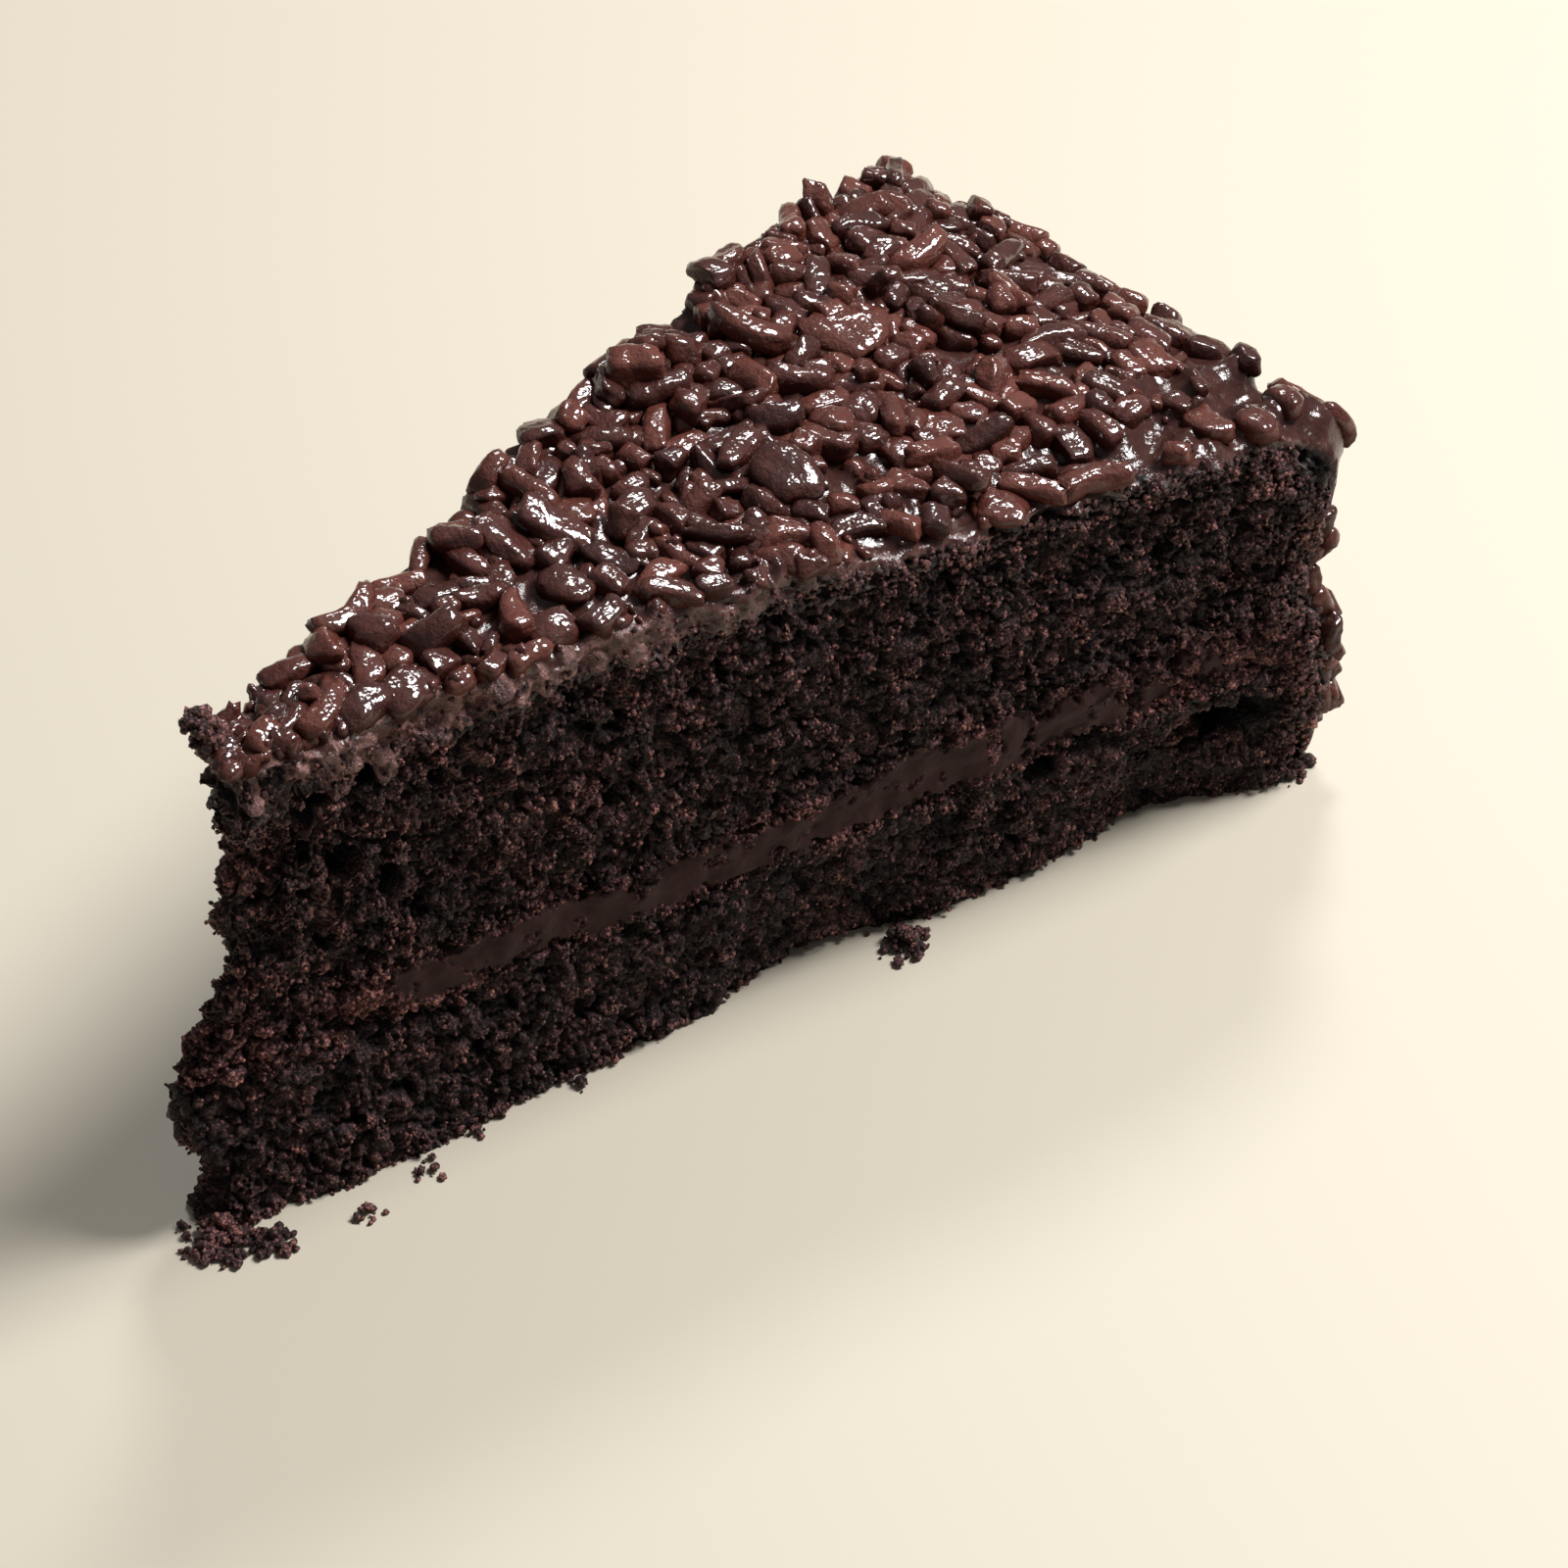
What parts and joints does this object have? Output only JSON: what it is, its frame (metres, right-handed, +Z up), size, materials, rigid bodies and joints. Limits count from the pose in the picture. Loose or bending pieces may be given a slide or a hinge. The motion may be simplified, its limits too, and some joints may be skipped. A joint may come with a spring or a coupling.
{
  "type": "slice of chocolate cake",
  "caption": "Wedge slice of layered chocolate cake: dark sponge, a filling between the layers, and a glossy glaze with chocolate grains over the top and outer side.",
  "frame": {"origin": "middle of the slice's length, on its flat underside", "axes": "+X from the tip to the round outer side along the slice's middle line, +Z up, so the two cut faces look to -Y and +Y"},
  "size_m": [0.1192, 0.0568, 0.0509],
  "materials": {
    "sponge": "matte, open crumb",
    "filling": "satin, smooth",
    "glaze": "glossy"
  },
  "bodies": {
    "root": {"lower_sponge": "sponge", "filling": "filling", "upper_sponge": "sponge", "glaze": "glaze"}
  },
  "joints": []
}
